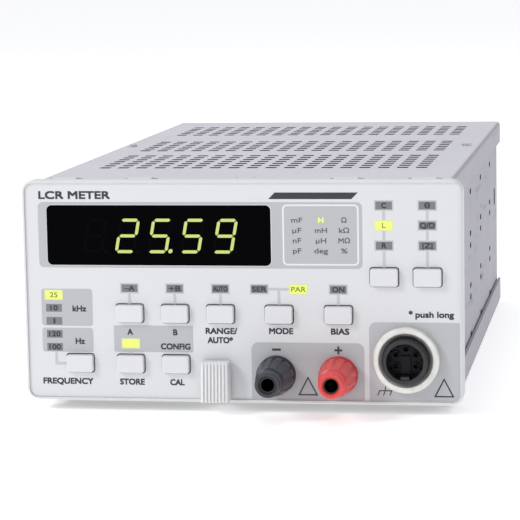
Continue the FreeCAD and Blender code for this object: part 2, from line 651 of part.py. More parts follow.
def side_wall(side):
    """A side wall with its vent slots, its upper and lower edges turned in under the covers."""
    front, back = FRAME_BACK + 0.3, REAR_INNER - 0.05
    length = back - front
    middle = (WALL_LOW + WALL_HIGH) / 2
    x0 = WALL_IN
    holes = []
    for depth in SIDE_COLUMNS:
        holes += [rectangle_x(x0, depth, z, 5.2, 1.8) for z in SIDE_SLOTS]
    holes.append(rectangle_x(x0, 211.6, 43.2, 5.0, 6.2))
    outline = rectangle_x(x0, front + length / 2, middle, length, WALL_HIGH - WALL_LOW)
    wall = pierced(outline, holes, V(WALL_SHEET, 0, 0))
    inner = WALL_IN - 6.0
    top = box(inner, WALL_OUT, COVER_FRONT + 6.0, back, WALL_HIGH - WALL_SHEET, WALL_HIGH)
    top = top.cut(post(COVER_SCREW[0], COVER_SCREW[1], COVER_SCREW_RADIUS + FIT, 60, 80))
    foot = box(inner, WALL_OUT, BOTTOM_FRONT + 6.0, back, WALL_LOW, WALL_LOW + WALL_SHEET)
    for depth in FOOT_SCREWS:
        foot = foot.cut(post(COVER_SCREW[0], depth, COVER_SCREW_RADIUS + FIT, 0, 5))
    wall = wall.fuse([top, foot])
    wall = wall.cut(box(inner, WALL_OUT + 1, 0, BOTTOM_FRONT, 0, PANEL_LIFT + 0.2))
    for z in FRAME_EARS:
        wall = wall.cut(cross_rod(FRAME_SCREW_DEPTH, z, 1.3, 50, 70))
    wall = wall.removeSplitter()
    return wall if side > 0 else wall.mirror(V(0, 0, 0), V(1, 0, 0))


def rear_panel():
    z = MAIN_BOARD_Z + BOARD / 2
    a = TONGUE_WIDTH / 2 + 2.0
    holes = [rounded_wire(-a, a, z - TONGUE_SLOT / 2, z + TONGUE_SLOT / 2, 1.0, REAR_INNER)]
    holes += [Part.Wire(Part.makeCircle(1.3, V(x, REAR_INNER, h), V(0, 1, 0))) for x, h in REAR_SCREWS]
    for n in range(9):
        x = (n - 4) * 9.0
        holes.append(rounded_wire(x - 1.2, x + 1.2, 42.0, 60.0, 1.1, REAR_INNER))
    outline = rounded_wire(-REAR_HALF, REAR_HALF, WALL_LOW + 0.05, WALL_HIGH - 0.05, 0.8, REAR_INNER)
    return pierced(outline, holes, V(0, REAR_SHEET, 0))


def rear_blocks():
    """Threaded blocks in the rear corners that the rear panel screws into."""
    blocks = []
    for x, z in REAR_SCREWS:
        edge = math.copysign(WALL_IN - 0.05, x)
        x0, x1 = sorted((edge, edge - math.copysign(9.5, x)))
        block = box(x0, x1, REAR_INNER - 9.0, REAR_INNER, z - 4.0, z + 4.0)
        blocks.append(block.cut(rod(x, z, 1.25 + FIT, REAR_INNER - 8.0, REAR_INNER + 1)))
    return together(*blocks)


def rear_screws():
    screws = []
    for x, z in REAR_SCREWS:
        screw = pan_screw(0, 0, 1.25, 2.5, 0, 7.0)
        screw.rotate(V(0, 0, 0), V(0, 0, 1), 180)
        screw.translate(V(x, BODY_DEPTH, z))
        screws.append(screw)
    return together(*screws)


def frame_screws():
    screws = []
    for side in (-1, 1):
        for z in FRAME_EARS:
            screw = pan_screw(0, 0, 1.25, 2.3, 0, 4.4, 1.2)
            screw.rotate(V(0, 0, 0), V(0, 0, 1), 90 * side)
            screw.translate(V(side * WALL_OUT, FRAME_SCREW_DEPTH, z))
            screws.append(screw)
    return together(*screws)


def cover_screws():
    x, depth = COVER_SCREW
    screws = []
    for side in (-1, 1):
        screws.append(low_screw(side * x, depth, BODY_HEIGHT - 4.0, BODY_HEIGHT, COVER_SCREW_RADIUS, 1.7))
        for place in FOOT_SCREWS:
            up = post(side * x, place, COVER_SCREW_RADIUS, SHEET - 0.6, 4.5)
            up = up.fuse(post(side * x, place, SUNK_HEAD, 0.05, SHEET - 0.6))
            screws.append(up)
    return together(*screws)


# ---- electronics ----------------------------------------------------------------------------------------
def front_board():
    """An upright board, cut away round the lever, the binding posts and the connector."""
    board = box(-59, 59, FRONT_BOARD, FRONT_BOARD + BOARD, 9.5, 66.5)
    board = board.cut(box(2.0, 61, FRONT_BOARD - 1, FRONT_BOARD + 3, 9, 27.0))
    board = board.cut(box(-13.5, -1.5, FRONT_BOARD - 1, FRONT_BOARD + 3, 9, 18.0))
    for x, z in BOARD_SPACERS:
        board = board.cut(rod(x, z, 1.3, FRONT_BOARD - 1, FRONT_BOARD + 3))
    return board


def board_spacers():
    """Round pillars from the plate to the front board."""
    return together(*[ring(x, z, 2.2, 1.25, PLATE_BACK, FRONT_BOARD) for x, z in BOARD_SPACERS])


def board_spacer_screws():
    screws = []
    for x, z in BOARD_SPACERS:
        screw = pan_screw(0, 0, 1.2, 2.2, 0, 6.0, 1.2)
        screw.rotate(V(0, 0, 0), V(0, 0, 1), 180)
        screw.translate(V(x, FRONT_BOARD + BOARD, z))
        screws.append(screw)
    return together(*screws)


def main_board():
    """The level board, with the contact tongue that reaches out through the rear panel."""
    z0, z1 = MAIN_BOARD_Z, MAIN_BOARD_Z + BOARD
    board = box(-59.5, 59.5, MAIN_BOARD_FRONT, REAR_INNER - 11.0, z0, z1)
    neck = box(-TONGUE_WIDTH / 2, TONGUE_WIDTH / 2, REAR_INNER - 12.0, BODY_DEPTH + TONGUE_OUT, z0, z1)
    corners = edges_at(neck, lambda p: near(p.y, BODY_DEPTH + TONGUE_OUT))
    neck = neck.makeChamfer(0.6, [e for e in corners if e.Length > TONGUE_WIDTH - 1])
    board = board.fuse(neck).removeSplitter()
    slot = 11.0
    end = BODY_DEPTH + TONGUE_OUT + 1
    board = board.cut(box(slot - 0.6, slot + 0.6, BODY_DEPTH - 1, end, z0 - 1, z1 + 1))
    for x, y in MAIN_PILLARS:
        board = board.cut(post(x, y, 1.3, z0 - 1, z1 + 1))
    return board


def edge_contacts():
    """Gold pads on both sides of the tongue."""
    pitch = TONGUE_WIDTH / TONGUE_POLES
    pads = []
    for n in range(TONGUE_POLES):
        x = (n - (TONGUE_POLES - 1) / 2) * pitch
        if abs(x - 11.0) < 1.3:
            x += math.copysign(1.3 - abs(x - 11.0), x - 11.0)
        for z in (MAIN_BOARD_Z - 0.06, MAIN_BOARD_Z + BOARD):
            pads.append(box(x - 0.6, x + 0.6, BODY_DEPTH + 0.5, BODY_DEPTH + TONGUE_OUT - 1.0, z, z + 0.06))
    return together(*pads)


def board_pillars():
    """Pillars from the bottom cover to the main board."""
    return together(*[post(x, y, 2.5, SHEET, MAIN_BOARD_Z).cut(post(x, y, 1.25, 12, 40))
                      for x, y in MAIN_PILLARS])


def board_pillar_screws():
    z = MAIN_BOARD_Z + BOARD
    return together(*[low_screw(x, y, z - 6.0, z, 1.2, 2.2, 1.2) for x, y in MAIN_PILLARS])


def board_link():
    """The angled header that joins the two boards."""
    z = MAIN_BOARD_Z + BOARD
    block = box(-44, -16, MAIN_BOARD_FRONT + 2, MAIN_BOARD_FRONT + 8, z, z + 5)
    pins = [box(x - 0.3, x + 0.3, FRONT_BOARD + BOARD, MAIN_BOARD_FRONT + 2, z + 2.2, z + 2.8)
            for x in [-42.5 + 2.54 * n for n in range(11)]]
    return together(block.fuse(pins))


def chip(x, y, width, length, height, legs, pitch=2.54):
    """A dual in-line chip with its legs, lengthwise along Y."""
    z = MAIN_BOARD_Z + BOARD
    body = box(x - width / 2, x + width / 2, y - length / 2, y + length / 2, z + 0.8, z + 0.8 + height)
    body = body.cut(post(x, y - length / 2, 1.0, z + height + 0.2, z + height + 2))
    for n in range(legs):
        offset = (n - (legs - 1) / 2) * pitch
        for side in (-1, 1):
            a, b = sorted((x + side * width / 2, x + side * (width / 2 + 0.5)))
            body = body.fuse(box(a, b, y + offset - 0.35, y + offset + 0.35, z, z + 0.8 + height / 2))
    return body


def chips():
    """The microcontroller and the small analogue chips."""
    places = [(18, 70, 4), (18, 90, 4), (18, 112, 7), (36, 70, 7), (36, 100, 8)]
    small = [chip(x, y, 6.4, 2.54 * legs + 0.4, 3.2, legs) for x, y, legs in places]
    return together(chip(-30, 120, 13.6, 51.2, 3.8, 20), *small)


def capacitors():
    z = MAIN_BOARD_Z + BOARD
    places = [(-45, 186, 8.0, 22), (-45, 165, 6.3, 18), (-30, 190, 6.3, 18), (-30, 172, 5.0, 12),
              (32, 186, 5.0, 12), (44, 180, 5.0, 12)]
    cans = []
    for x, y, radius, height in places:
        can = post(x, y, radius, z, z + height)
        can = can.makeFillet(0.6, edges_at(can, lambda p, top=z + height: near(p.z, top)))
        cans.append(can)
    return together(*cans)


def relays():
    z = MAIN_BOARD_Z + BOARD
    return together(*[box(x - 5, x + 5, y - 10, y + 10, z, z + 11)
                      for x, y in ((50, 70), (50, 95), (50, 120))])


def crystal():
    z = MAIN_BOARD_Z + BOARD
    can = box(-12, -1, 146, 150.5, z + 0.3, z + 12.5)
    return can.makeFillet(1.9, [e for e in can.Edges if near(e.Length, 12.2)])


def shield_can():
    """The tinned cover over the measuring front end."""
    z = MAIN_BOARD_Z + BOARD
    can = box(-8, 12, 28, 56, z, z + 15).cut(box(-7.6, 11.6, 28.4, 55.6, z - 1, z + 14.6))
    for n in range(4):
        can = can.cut(box(-4 + 4.5 * n, -2.5 + 4.5 * n, 32, 52, z + 14, z + 16))
    return can


# ---- wires ----------------------------------------------------------------------------------------------
def wire_along(points, radius):
    """A round wire through the points: straight runs joined by tangent arcs."""
    corners = [V(*p) for p in points]
    edges = []
    last = corners[0]
    for before, corner, after in zip(corners, corners[1:], corners[2:]):
        run_in, run_out = corner - before, after - corner
        turn = run_in.getAngle(run_out)
        cut = 0.45 * min(run_in.Length, run_out.Length)
        start = corner - run_in.normalize() * cut
        end = corner + run_out.normalize() * cut
        bisector = (end + start) * 0.5 - corner
        arc_radius = cut / math.tan(turn / 2)
        centre = corner + bisector.normalize() * math.hypot(arc_radius, cut)
        middle = centre + (corner - centre).normalize() * arc_radius
        edges.append(Part.LineSegment(last, start).toShape())
        edges.append(Part.Arc(start, middle, end).toShape())
        last = end
    edges.append(Part.LineSegment(last, corners[-1]).toShape())
    path = Part.Wire(edges)
    circle = Part.Wire(Part.makeCircle(radius, corners[0], corners[1] - corners[0]))
    return path.makePipeShell([circle], True, False)


def measuring_wires():
    """Screened leads from the connector's tails to the main board."""
    wires = []
    for n, (x, z) in enumerate(contact_places()):
        turn, end_x = 24.5 - 1.5 * n, 32.8 - 3.2 * n
        route = [(x, 15.0, z), (x, turn, z), (end_x, turn, 19.5), (end_x, 28.5, 19.5),
                 (end_x, 28.5, MAIN_BOARD_Z - 0.05)]
        wires.append(wire_along(route, 0.65))
    return together(*wires)


def bias_wires():
    wires = []
    for x, z in POSTS.values():
        z = panel(z) + 8.8
        end_x = 4.0 if x < 20 else 8.0
        route = [(x, 8.0, z), (x, 14.0, z), (end_x, 19.0, z - 0.9), (end_x, 24.5, z - 0.9),
                 (end_x, 24.5, MAIN_BOARD_Z - 0.05)]
        wires.append(wire_along(route, 0.7))
    return together(*wires)


# ---- every node -----------------------------------------------------------------------------------------
def build():
    nodes = {
        "front_frame": front_frame(),
        "front_foil": front_sheet(0.0, FOIL, 4.0 + FIT, CONNECTOR_BODY + 0.05),
        "front_plate": front_sheet(FOIL, PLATE_BACK, 4.0 + FIT, CONNECTOR_BODY + 0.05),
        "display_window": display_window(),
        "indicator_windows": lamps(LAMPS_DARK),
        "indicator_windows_lit": lamps(LAMPS_LIT),
        "display_digits": display_digits(),
        "indicator_leds": indicator_leds(),
        "front_board": front_board(),
        "front_board_spacers": board_spacers(),
        "front_board_screws": board_spacer_screws(),
        "switch_bodies": switch_bodies(),
        "release_lever": release_lever(),
        "lever_pin": lever_pin(),
        "lever_spring": lever_spring(),
        "post_insulator_black": post_insulator(*POSTS["black"]),
        "post_insulator_red": post_insulator(*POSTS["red"]),
        "post_spindles": post_spindles(),
        "post_nuts": post_nuts(),
        "post_solder_lugs": post_lugs(),
        "clamp_washer_black": clamp_washer(*POSTS["black"]),
        "clamp_washer_red": clamp_washer(*POSTS["red"]),
        "post_cap_black": post_cap(*POSTS["black"]),
        "post_cap_red": post_cap(*POSTS["red"]),
        "connector_ring": connector_ring(),
        "connector_sleeve": connector_sleeve(),
        "connector_insert": connector_insert(),
        "connector_contacts": connector_contacts(),
        "connector_nut": connector_nut(),
        "top_cover": top_cover(),
        "bottom_cover": bottom_cover(),
        "side_wall_left": side_wall(-1),
        "side_wall_right": side_wall(1),
        "rear_panel": rear_panel(),
        "rear_corner_blocks": rear_blocks(),
        "rear_panel_screws": rear_screws(),
        "frame_screws": frame_screws(),
        "cover_screws": cover_screws(),
        "main_board": main_board(),
        "edge_contacts": edge_contacts(),
        "main_board_pillars": board_pillars(),
        "main_board_screws": board_pillar_screws(),
        "board_link_header": board_link(),
        "chips": chips(),
        "electrolytic_capacitors": capacitors(),
        "range_relays": relays(),
        "crystal": crystal(),
        "shield_can": shield_can(),
        "measuring_wires": measuring_wires(),
        "bias_wires": bias_wires(),
    }
    for name, place in BUTTONS.items():
        nodes["button_" + name] = button(*place)
    return nodes


def main():
    os.makedirs("parts", exist_ok=True)
    for name, shape in build().items():
        shape = shape.copy()
        shape.translate(V(0, -ORIGIN_DEPTH, 0))
        if not shape.isValid() or any(s.Volume <= 0 for s in shape.Solids) or not shape.Solids:
            print("not a good solid:", name)
        shape.exportStep("parts/" + name + ".step")
    print(len(os.listdir("parts")), "nodes; origin at depth", ORIGIN_DEPTH)


if __name__ == "__main__":
    main()
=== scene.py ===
"""The looks of a plug-in LCR meter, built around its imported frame.

Sizes are in mm where the text says so, and MM turns them into metres.
"""

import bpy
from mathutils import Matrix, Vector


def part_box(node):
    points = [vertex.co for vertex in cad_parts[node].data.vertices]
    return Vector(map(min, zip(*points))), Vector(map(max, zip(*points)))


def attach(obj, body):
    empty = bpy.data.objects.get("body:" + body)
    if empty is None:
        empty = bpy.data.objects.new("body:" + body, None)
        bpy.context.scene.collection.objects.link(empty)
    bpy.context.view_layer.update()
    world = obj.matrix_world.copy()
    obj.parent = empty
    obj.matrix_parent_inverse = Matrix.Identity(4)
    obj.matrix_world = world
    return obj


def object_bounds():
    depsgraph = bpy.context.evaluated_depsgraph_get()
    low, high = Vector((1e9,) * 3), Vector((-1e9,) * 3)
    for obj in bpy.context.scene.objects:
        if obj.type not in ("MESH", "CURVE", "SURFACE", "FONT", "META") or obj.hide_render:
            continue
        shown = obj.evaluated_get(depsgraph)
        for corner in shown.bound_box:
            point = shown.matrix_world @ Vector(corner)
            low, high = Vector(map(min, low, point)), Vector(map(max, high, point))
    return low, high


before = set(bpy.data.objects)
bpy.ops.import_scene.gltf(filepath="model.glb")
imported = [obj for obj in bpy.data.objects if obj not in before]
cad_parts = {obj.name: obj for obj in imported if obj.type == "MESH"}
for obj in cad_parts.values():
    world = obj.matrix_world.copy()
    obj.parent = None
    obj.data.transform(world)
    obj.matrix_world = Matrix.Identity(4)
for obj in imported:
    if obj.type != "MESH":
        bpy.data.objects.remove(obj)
cad_box = [list(corner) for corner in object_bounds()]

import math

import bmesh
import bpy
from mathutils import Matrix, Quaternion, Vector

MM = 0.001
scene = bpy.context.scene
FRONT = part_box("front_foil")[0].y            # the face of the front foil
PANEL_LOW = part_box("front_frame")[0].z       # the front frame's lower edge
FLOOR = cad_box[0][2]


def at(x, z, out=0.0):
    """A place on the front panel, in mm from its middle and its lower edge, and mm in front of the foil."""
    return Vector((x * MM, FRONT - out * MM, PANEL_LOW + z * MM))


def middle(node):
    low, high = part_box(node)
    return (low + high) / 2


# ---- camera, light and floor ----------------------------------------------------------------------------
EYE = (122.4, 138.8, 686.1)                  # x, z and distance in front of the panel, mm
AIM = (6.2, 43.8)
LENS = 161.0
ROLL = -0.018


def make_camera():
    data = bpy.data.cameras.new("camera")
    data.sensor_width = 36.0
    data.lens = LENS
    data.clip_start = 0.01
    camera = bpy.data.objects.new("camera", data)
    camera.location = at(*EYE)
    camera.rotation_mode = "QUATERNION"
    level = (at(*AIM) - at(*EYE)).to_track_quat("-Z", "Y")
    camera.rotation_quaternion = level @ Quaternion((0, 0, 1), ROLL)
    scene.collection.objects.link(camera)
    scene.camera = camera


def soft_light(name, place, target, size, power):
    data = bpy.data.lights.new(name, "AREA")
    data.shape = "DISK"
    data.size = size
    data.energy = power
    light = bpy.data.objects.new(name, data)
    light.location = place
    light.rotation_mode = "QUATERNION"
    light.rotation_quaternion = (Vector(target) - Vector(place)).to_track_quat("-Z", "Y")
    scene.collection.objects.link(light)


def make_lights():
    world = bpy.data.worlds.new("studio")
    world.use_nodes = True
    background = world.node_tree.nodes["Background"]
    background.inputs["Color"].default_value = (0.96, 0.97, 1.0, 1)
    background.inputs["Strength"].default_value = 0.6
    scene.world = world
    soft_light("key", (-1.25, -1.15, 1.15), (0, 0, 0.03), 0.6, 14.5)
    soft_light("top", (-0.1, 0.25, 1.5), (0, 0, 0.03), 1.0, 7.0)
    scene.view_settings.view_transform = "Standard"


# ---- materials ------------------------------------------------------------------------------------------
class Recipe:
    """One node material that is being built."""

    def __init__(self, name):
        self.material = bpy.data.materials.new(name)
        self.material.use_nodes = True
        self.tree = self.material.node_tree
        self.shader = self.tree.nodes["Principled BSDF"]
        self.places = self.tree.nodes.new("ShaderNodeTexCoord").outputs["Object"]

    def node(self, kind, links=(), **settings):
        made = self.tree.nodes.new("ShaderNode" + kind)
        for key, value in settings.items():
            if key in made.inputs:
                made.inputs[key].default_value = value
            else:
                setattr(made, key, value)
        for socket, source in dict(links).items():
            self.tree.links.new(source, made.inputs[socket])
        return made

    def noise(self, scale, detail=2.0, stretch=None):
        places = self.places
        if stretch:
            places = self.node("Mapping", {"Vector": places}, Scale=stretch).outputs["Vector"]
        return self.node("TexNoise", {"Vector": places}, Scale=scale, Detail=detail).outputs["Fac"]

    def spread(self, source, low, high, start=0.3, end=0.7):
        """source, from start to end, mapped to low to high."""
        made = self.node("MapRange", {"Value": source})
        for socket, value in zip(("From Min", "From Max", "To Min", "To Max"), (start, end, low, high)):
            made.inputs[socket].default_value = value
        return made.outputs["Result"]

    def blend(self, factor, first, second):
        """A colour between first and second; each is a colour or an output."""
        made = self.node("Mix", data_type="RGBA")
        self.tree.links.new(factor, made.inputs[0])
        for socket, value in ((made.inputs[6], first), (made.inputs[7], second)):
            if isinstance(value, (tuple, list)):
                socket.default_value = (*value[:3], 1)
            else:
                self.tree.links.new(value, socket)
        return made.outputs[2]

    def within(self, low, high, rim):
        """1 where the surface lies more than rim mm inside a box, else 0."""
        low, high = Vector(low), Vector(high)
        off = self.node("VectorMath", {0: self.places}, operation="SUBTRACT")
        off.inputs[1].default_value = (low + high) / 2
        span = self.node("VectorMath", {0: off.outputs[0]}, operation="ABSOLUTE")
        past = self.node("VectorMath", {0: span.outputs[0]}, operation="SUBTRACT")
        past.inputs[1].default_value = (high - low) / 2
        parts = self.node("SeparateXYZ", {0: past.outputs[0]}).outputs
        most = self.node("Math", {0: parts[0], 1: parts[1]}, operation="MAXIMUM").outputs[0]
        most = self.node("Math", {0: most, 1: parts[2]}, operation="MAXIMUM").outputs[0]
        made = self.node("Math", {0: most}, operation="LESS_THAN")
        made.inputs[1].default_value = -rim * MM
        return made.outputs[0]

    def feed(self, socket, source):
        self.tree.links.new(source, self.shader.inputs[socket])

    def bump(self, height, depth, edge):
        """Relief of the given depth in mm on edges rounded by edge mm."""
        links = {"Height": height}
        if edge:
            links["Normal"] = self.node("Bevel", Radius=edge * MM, samples=4).outputs["Normal"]
        relief = self.node("Bump", links, Strength=1.0, Distance=depth * MM)
        self.feed("Normal", relief.outputs["Normal"])


def shade(color, factor):
    return tuple(min(1.0, c * factor) for c in color)


def surface(name, color, rough=0.45, tone=0.04, blotch=22.0, grain=1600.0, relief=0.01, edge=0.1,
            stretch=None, scuff=0.0, inner=None, inner_shade_color=(0.032, 0.031, 0.036), flank=None, **sockets):
    """Paint, plastic or metal: uneven tone, fine grain in colour, gloss and relief, and a few scuffs.

    inner is a box, as its low and high corners. Surfaces inside it, such as the edges of punched holes and
    the case's inner faces, take a dark colour as painted shade. flank is a box and a colour, which surfaces
    outside that box take as painted shade on sides that face away from the light.
    """
    r = Recipe(name)
    fine = r.noise(grain, 3.0, stretch)
    broad = r.noise(blotch, 4.0)
    colour = r.blend(r.spread(broad, 0, 1), shade(color, 1 - tone), shade(color, 1 + tone))
    colour = r.blend(r.spread(fine, 0, 0.5), colour, shade(color, 1 - 2 * tone))
    gloss = r.spread(fine, rough - 0.05, rough + 0.06)
    if scuff:
        streak = r.spread(r.noise(260.0, 5.0, (1, 0.12, 1)), 0, scuff, 0.62, 0.74)
        colour = r.blend(streak, colour, shade(color, 0.72))
        gloss = r.node("Math", {0: gloss, 1: streak}, operation="ADD").outputs[0]
    # painted shade: surfaces outside the flank box take its colour, for sides that face away from the light
    if flank:
        colour = r.blend(r.within(*flank[:2], 0), flank[2], colour)
    # painted shade: surfaces inside the inner box, such as hole edges and inner faces, take a dark colour
    if inner:
        colour = r.blend(r.within(*inner, 0.04), colour, inner_shade_color)
    r.feed("Base Color", colour)
    r.feed("Roughness", gloss)
    r.bump(fine, relief, edge)
    for socket, value in sockets.items():
        r.shader.inputs[socket.replace("_", " ")].default_value = value
    return r.material


RING_PITCH = 0.09                            # of the rings that turning leaves, mm


def turned_metal(name, color, rough, x, z, metal=1.0):
    """Plated metal with fine rings about an axis along Y through x and z (metres)."""
    r = Recipe(name)
    flat = r.node("VectorMath", {0: r.places}, operation="MULTIPLY")
    flat.inputs[1].default_value = (1, 0, 1)
    off = r.node("VectorMath", {0: flat.outputs[0]}, operation="SUBTRACT")
    off.inputs[1].default_value = (x, 0, z)
    radius = r.node("VectorMath", {0: off.outputs[0]}, operation="LENGTH").outputs["Value"]
    rings = r.node("TexNoise", {"W": radius}, noise_dimensions="1D", Scale=1 / (RING_PITCH * MM),
                   Detail=3).outputs["Fac"]
    worn = r.noise(320.0, 5.0)
    r.feed("Base Color", r.blend(r.spread(worn, 0, 1), color, shade(color, 0.82)))
    r.feed("Roughness", r.spread(rings, rough - 0.07, rough + 0.09))
    r.shader.inputs["Metallic"].default_value = metal
    r.bump(rings, 0.004, 0.08)
    return r.material


def glowing(name, color, strength, base):
    """A lit window or segment, a little uneven."""
    r = Recipe(name)
    uneven = r.spread(r.noise(700.0, 2.0), 0, 1)
    r.feed("Base Color", r.blend(uneven, base, shade(base, 0.9)))
    r.feed("Emission Color", r.blend(uneven, color, shade(color, 0.93)))
    r.shader.inputs["Emission Strength"].default_value = strength
    r.feed("Roughness", r.spread(r.noise(1500.0), 0.25, 0.4))
    return r.material


def smoked_window():
    """Smoked glass, so dark that only lit segments show."""
    r = Recipe("smoked_window")
    haze = r.spread(r.noise(55.0, 3.0), 0, 1)
    r.feed("Base Color", r.blend(haze, (0.0003, 0.0003, 0.0007), (0.0005, 0.0005, 0.0010)))
    r.feed("Roughness", r.spread(r.noise(900.0, 2.0), 0.14, 0.2))
    r.shader.inputs["Specular IOR Level"].default_value = 0.02
    return r.material


def circuit_board():
    """Green mask with a web of copper tracks under it."""
    r = Recipe("circuit_board")
    cells = r.node("TexVoronoi", {"Vector": r.places}, Scale=210.0, distance="MANHATTAN",
                   feature="F1").outputs["Distance"]
    track = r.spread(cells, 0, 1, 0.42, 0.46)
    r.feed("Base Color", r.blend(track, (0.012, 0.10, 0.045), (0.03, 0.20, 0.08)))
    r.feed("Roughness", r.spread(r.noise(1200.0), 0.25, 0.38))
    r.bump(track, 0.03, 0.05)
    return r.material


def can_sleeve():
    """A dark printed sleeve with a pale band of marks down it."""
    r = Recipe("capacitor_sleeve")
    wave = r.node("TexWave", {"Vector": r.places}, Scale=16.0, bands_direction="X").outputs["Fac"]
    r.feed("Base Color", r.blend(r.spread(wave, 0, 1, 0.9, 0.95), (0.03, 0.05, 0.15), (0.5, 0.55, 0.6)))
    r.feed("Roughness", r.spread(r.noise(900.0), 0.2, 0.35))
    return r.material


POST_AXES = {name: middle("clamp_washer_" + name) for name in ("black", "red")}
CONNECTOR = middle("connector_ring")
PALE = (0.683, 0.690, 0.707)
# the side walls' paint, darkened as painted shade for sides that face away from the key light
SHADED_WALL_GREY = (0.372, 0.364, 0.414)
FAR = 1.0                                     # metres, past every end of the object
BEND = Vector((1.7, 0, 0)) * MM               # from a cover's side to the inner end of its bend
TURN = Vector((0.7, 0, 0)) * MM               # from a cover's side to the middle of its bend's curve
COVER_LOW, COVER_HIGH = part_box("top_cover")
CASE_LOW = Vector((COVER_LOW.x, COVER_LOW.y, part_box("bottom_cover")[0].z))
# painted shade: inside this box the covers and rear panel are dark, at hole edges and inner faces
CASE = (CASE_LOW + BEND, COVER_HIGH - BEND)
# painted shade: outside this box the top cover's sides take the darker wall grey, as sides that face away
# from the light
COVER_SIDE_SHADE = (Vector((COVER_LOW.x, -FAR, -FAR)) + TURN, Vector((COVER_HIGH.x, FAR, FAR)) - TURN, SHADED_WALL_GREY)
WALL_LOW, WALL_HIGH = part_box("side_wall_left")[0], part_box("side_wall_right")[1]
# painted shade: inside this box the side walls are dark, at hole edges and inner faces
WALLS = (Vector((WALL_LOW.x, -FAR, -FAR)), Vector((WALL_HIGH.x, FAR, FAR)))
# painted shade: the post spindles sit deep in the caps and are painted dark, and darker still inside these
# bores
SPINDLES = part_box("post_spindles")
BORES = (SPINDLES[0] + Vector((0, 0.6, 0)) * MM, SPINDLES[1])

MATERIALS = {
    "foil": surface("panel_foil", PALE, 0.42, 0.012, 14.0, 3600.0, 0.004, 0.05, scuff=0.06),
    "frame": surface("frame_paint", (0.665, 0.67, 0.68), 0.44, 0.02, 30.0, 2600.0, 0.008, 0.2, scuff=0.1),
    "cover": surface("cover_paint", (0.600, 0.590, 0.640), 0.5, 0.04, 26.0, 1500.0, 0.016, 0.15, scuff=0.22,
                     inner=CASE, flank=COVER_SIDE_SHADE),
    "wall": surface("wall_paint_and_shade", SHADED_WALL_GREY, 0.5, 0.07, 42.0, 1500.0, 0.016, 0.12, scuff=0.25, inner=WALLS),
    "key": surface("key_plastic", (0.690, 0.695, 0.715), 0.36, 0.012, 60.0, 2800.0, 0.005, 0.12,
                   Subsurface_Weight=0.04, Subsurface_Scale=0.001),
    "lever": surface("lever_plastic", (0.765, 0.765, 0.775), 0.38, 0.015, 60.0, 2800.0, 0.006, 0.12,
                     Subsurface_Weight=0.04, Subsurface_Scale=0.001),
    "black_cap": surface("black_cap", (0.027, 0.030, 0.042), 0.34, 0.1, 120.0, 2600.0, 0.01, 0.15,
                         scuff=0.1),
    "red_cap": surface("red_cap", (0.70, 0.055, 0.052), 0.32, 0.05, 120.0, 2600.0, 0.01, 0.15),
    "black": surface("black_plastic", (0.022, 0.022, 0.026), 0.5, 0.12, 90.0, 2200.0, 0.01, 0.1),
    "red": surface("red_plastic", (0.55, 0.02, 0.03), 0.45, 0.06, 90.0, 2200.0, 0.01, 0.1),
    "insert": surface("connector_insert", (0.004, 0.004, 0.008), 0.42, 0.15, 200.0, 2400.0, 0.01, 0.1,
                      Specular_IOR_Level=0.2),
    "dark_legend": surface("dark_legend", (0.185, 0.192, 0.205), 0.3, 0.05, 180.0, 2500.0, 0.003, 0.05),
    "led": surface("led_body", (0.45, 0.55, 0.35), 0.3, 0.05, 100.0),
    "steel": surface("plated_steel", (0.62, 0.63, 0.64), 0.28, 0.06, 160.0, 2400.0, 0.005, 0.08,
                     Metallic=1.0),
    "primer": surface("plate_primer", (0.42, 0.42, 0.43), 0.5, 0.05),
    "spring": surface("spring_steel", (0.5, 0.5, 0.5), 0.3, 0.08, 200.0, Metallic=1.0),
    "tin": surface("tinned_sheet", (0.6, 0.6, 0.58), 0.35, 0.08, 90.0, 2000.0, 0.006, 0.1, (1, 0.1, 1),
                   Metallic=1.0),
    "gold": surface("gold_contacts", (0.83, 0.58, 0.22), 0.22, 0.05, 300.0, 3000.0, 0.002, 0.03,
                    Metallic=1.0),
    "contact": surface("plated_brass", (0.70, 0.66, 0.55), 0.25, 0.05, 300.0, Metallic=1.0),
    # painted shade: the connector's brass contacts are darkened because they sit deep in its cavities
    "shaded_contact": surface("shaded_contact", (0.13, 0.12, 0.11), 0.4, 0.08, 300.0, Metallic=0.8),
    "relay": surface("relay_case", (0.70, 0.68, 0.62), 0.3, 0.03),
    "grey_wire": surface("grey_wire", (0.3, 0.3, 0.31), 0.4, 0.05),
    "red_wire": surface("red_wire", (0.5, 0.03, 0.03), 0.4, 0.05),
    "digit_block": surface("digit_block", (0.010, 0.010, 0.011), 0.55, 0.2, 90.0, 2400.0, 0.004, 0.05),
    "lit_legend": glowing("lit_legend", (0.80, 1.0, 0.085), 0.62, (0.42, 0.46, 0.15)),
    "ring_metal": turned_metal("ring_metal", (0.84, 0.84, 0.80), 0.40, CONNECTOR.x, CONNECTOR.z, metal=0.5),
    "sleeve_metal": turned_metal("sleeve_metal", (0.045, 0.045, 0.048), 0.42, CONNECTOR.x, CONNECTOR.z,
                                 metal=0.6),
    # painted shade: dark metal for spindles deep in the caps, darker inside the bores
    "spindle": surface("spindle_in_shade", (0.055, 0.048, 0.045), 0.35, 0.06, 300.0, inner=BORES,
                       inner_shade_color=(0.008, 0.008, 0.009), Metallic=0.8),
    "window": smoked_window(),
    "board": circuit_board(),
    "can": can_sleeve(),
}
for name, axis in POST_AXES.items():
    MATERIALS["washer_" + name] = turned_metal("washer_" + name, (0.72, 0.69, 0.60), 0.26, axis.x, axis.z)

